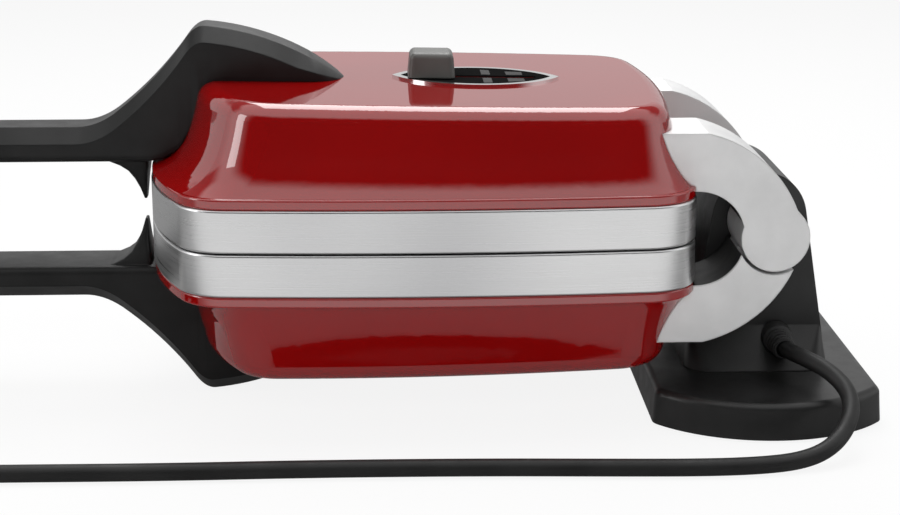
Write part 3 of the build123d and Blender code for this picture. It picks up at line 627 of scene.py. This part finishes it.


# The floor: a white table for the camera and for the light. What polished surfaces see of it is a painted
# shade of the object beside it, and white further off.
FLOOR_SIZE = 12.0
FLOOR_DROP = 0.0002
FLOOR_COLOR = (0.86, 0.86, 0.86, 1)
WHITE = (1, 1, 1, 1)
GLOW_SEEN = 0.88
GLOW_MIRRORED = 0.85
PAINTED_SHADE_END_X = 0.17
WHITE_START_X = 0.30
FLOOR_PAINTED_SHADE = 0.20
FLOOR_FAR = 0.95
floor_corners = [
    (x * FLOOR_SIZE, y * FLOOR_SIZE, -FLOOR_DROP) for x, y in ((-1, -1), (1, -1), (1, 1), (-1, 1))
]
floor_mesh = bpy.data.meshes.new("floor")
floor_mesh.from_pydata(floor_corners, [], [(0, 1, 2, 3)])
floor = bpy.data.objects.new("floor", floor_mesh)
scene.collection.objects.link(floor)
floor_material = bpy.data.materials.new("floor")
floor_material.use_nodes = True
tree = floor_material.node_tree
tree.nodes.clear()
path = add_node(tree, "ShaderNodeLightPath")
place = add_node(tree, "ShaderNodeTexCoord")
axes = add_node(tree, "ShaderNodeSeparateXYZ", (place.outputs["Object"],))
# Painted shade: polished surfaces see the floor dark near the object and white further off, by its place
# along X
painted_floor_shade = smooth_step(tree, axes.outputs["X"], PAINTED_SHADE_END_X, WHITE_START_X, FLOOR_PAINTED_SHADE, FLOOR_FAR)
glossy_ray = path.outputs["Is Glossy Ray"]
strength = add_node(tree, "ShaderNodeMix", {"Factor": glossy_ray, "A": 1.0, "B": painted_floor_shade})
diffuse = add_node(tree, "ShaderNodeBsdfDiffuse", {"Color": FLOOR_COLOR})
glow = add_node(tree, "ShaderNodeEmission", {"Color": WHITE, "Strength": strength.outputs["Result"]})
seen = arithmetic(tree, "MULTIPLY", path.outputs["Is Camera Ray"], GLOW_SEEN)
share = arithmetic(tree, "MULTIPLY_ADD", glossy_ray, GLOW_MIRRORED, seen)
mix = add_node(tree, "ShaderNodeMixShader", (share, diffuse.outputs[0], glow.outputs[0]))
add_node(tree, "ShaderNodeOutputMaterial", {"Surface": mix.outputs[0]})
floor_mesh.materials.append(floor_material)

# The studio, by the X and Z of the direction looked in: white, but dark low down on its right side, and on
# its left side grey low down with a dark gap above that. Polished surfaces see it in full, the others get
# a share of its light, and the camera sees white.
RIGHT_START_X = 0.10
RIGHT_END_X = 0.60
RIGHT_LOW_Z = 0.60
RIGHT_HIGH_Z = 0.80
LEFT_START_X = -0.10
LEFT_END_X = -0.50
GREY_END_Z = 0.38
GAP_START_Z = 0.46
GAP_END_Z = 0.64
LEFT_WHITE_Z = 0.74
WORLD_BRIGHT = 1.0
WORLD_DIM = 0.03
WORLD_FAR = 0.66
WORLD_GAP = 0.15
DIFFUSE_SHARE = 0.36
world = bpy.data.worlds.new("studio")
scene.world = world
world.use_nodes = True
tree = world.node_tree
tree.nodes.clear()
place = add_node(tree, "ShaderNodeTexCoord")
axes = add_node(tree, "ShaderNodeSeparateXYZ", (place.outputs["Generated"],))
across = axes.outputs["X"]
upward = axes.outputs["Z"]
to_right = smooth_step(tree, across, RIGHT_START_X, RIGHT_END_X, 0.0, 1.0)
low_down = smooth_step(tree, upward, RIGHT_LOW_Z, RIGHT_HIGH_Z, 1.0, 0.0)
right_shade = arithmetic(tree, "MULTIPLY", to_right, low_down)
right_level = between(tree, right_shade, WORLD_BRIGHT, WORLD_DIM)
to_left = smooth_step(tree, across, LEFT_START_X, LEFT_END_X, 0.0, 1.0)
left_grey = smooth_step(tree, upward, GREY_END_Z, GAP_START_Z, WORLD_FAR, WORLD_GAP)
left_white = smooth_step(tree, upward, GAP_END_Z, LEFT_WHITE_Z, 0.0, 1.0)
left_shade = between(tree, left_white, left_grey, 1.0)
left_level = between(tree, to_left, 1.0, left_shade)
level = arithmetic(tree, "MULTIPLY", right_level, left_level)
path = add_node(tree, "ShaderNodeLightPath")
polish = between(tree, path.outputs["Is Glossy Ray"], DIFFUSE_SHARE, 1.0)
level = arithmetic(tree, "MULTIPLY", level, polish)
lit = add_node(tree, "ShaderNodeBackground", {"Color": WHITE, "Strength": level})
white = add_node(tree, "ShaderNodeBackground", {"Color": WHITE})
camera_ray = path.outputs["Is Camera Ray"]
through_ray = path.outputs["Is Transmission Ray"]
seen = arithmetic(tree, "ADD", camera_ray, through_ray, use_clamp=True)
mix = add_node(tree, "ShaderNodeMixShader", (seen, lit.outputs[0], white.outputs[0]))
add_node(tree, "ShaderNodeOutputWorld", {"Surface": mix.outputs[0]})

scene.view_settings.view_transform = "Standard"

# Each lamp: its name, its place, the point it faces, its size, its watts, and whether polished surfaces
# mirror it
LAMPS = (
    ("top_lamp", (-0.05, 0.05, 1.15), (-0.05, 0.06, 0.10), (0.6, 2.2), 7, False),
    ("strip_lamp", (-0.67, 0.05, 1.12), (0, 0.03, 0.12), (0.7, 1.17), 10.5, True),
    ("side_lamp", (1.7, 0.1, 0.9), (0, 0, 0.08), (1.2, 0.5), 10.5, False),
    ("front_lamp", (0.35, -1.5, 0.55), (0, -0.1, 0.08), (0.5, 0.9), 4, True),
)
for name, place, target, size, watts, mirrored in LAMPS:
    data = bpy.data.lights.new(name, "AREA")
    data.shape = "RECTANGLE"
    data.size, data.size_y = size
    data.energy = watts
    lamp = bpy.data.objects.new(name, data)
    scene.collection.objects.link(lamp)
    lamp.visible_glossy = mirrored
    lamp.location = place
    lamp.rotation_mode = "QUATERNION"
    lamp.rotation_quaternion = (Vector(target) - Vector(place)).to_track_quat("-Z", "Y")

bpy.context.view_layer.update()
